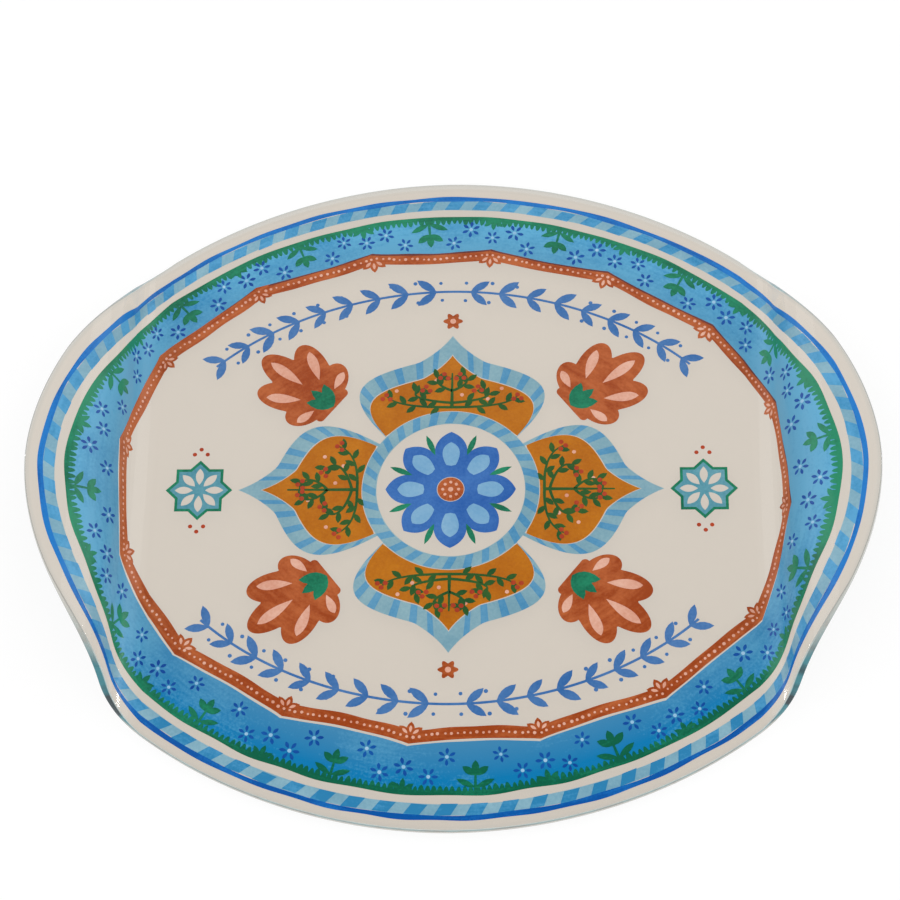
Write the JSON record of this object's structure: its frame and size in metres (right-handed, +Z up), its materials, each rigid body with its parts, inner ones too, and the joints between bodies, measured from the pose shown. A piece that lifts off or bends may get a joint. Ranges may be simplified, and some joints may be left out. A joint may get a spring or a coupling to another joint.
{
  "type": "serving tray",
  "caption": "Clear acrylic serving tray cut to an oval, both ends bent up into lip handles, printed with border bands and a floral medallion.",
  "frame": {"origin": "on the table under the tray, at the centre of its bounding box", "axes": "+X along the tray's length towards the right raised end, +Y across it towards the far edge, +Z up"},
  "size_m": [0.4112, 0.356, 0.042],
  "materials": {
    "clear_acrylic": "clear, polished, faintly warm, with teal cut edges",
    "cobalt_ink": "printed ink, smooth",
    "sky_ink": "printed ink, smooth",
    "blue_ink": "printed ink, slightly mottled",
    "green_ink": "printed ink, smooth",
    "terracotta_ink": "printed ink with brush marks",
    "ochre_ink": "printed ink, smooth",
    "teal_ink": "printed ink, smooth",
    "grey_blue_ink": "printed ink, smooth"
  },
  "bodies": {
    "root": {"acrylic_sheet": "clear_acrylic", "cobalt_rim_line": "cobalt_ink", "twist_band": "sky_ink", "green_edging": "green_ink", "blue_field": "blue_ink", "terracotta_band": "terracotta_ink", "medallion_frame": "sky_ink", "ochre_panel_right": "ochre_ink", "ochre_panel_upper": "ochre_ink", "ochre_panel_left": "ochre_ink", "ochre_panel_lower": "ochre_ink", "cobalt_rosette": "cobalt_ink", "rosette_eye": "terracotta_ink", "star_left": "teal_ink", "star_right": "teal_ink", "palmette_upper_left": "terracotta_ink", "palmette_upper_right": "terracotta_ink", "palmette_lower_left": "terracotta_ink", "palmette_lower_right": "terracotta_ink", "blossom_upper": "terracotta_ink", "blossom_lower": "terracotta_ink", "garland_upper": "grey_blue_ink", "garland_lower": "grey_blue_ink"}
  },
  "joints": []
}
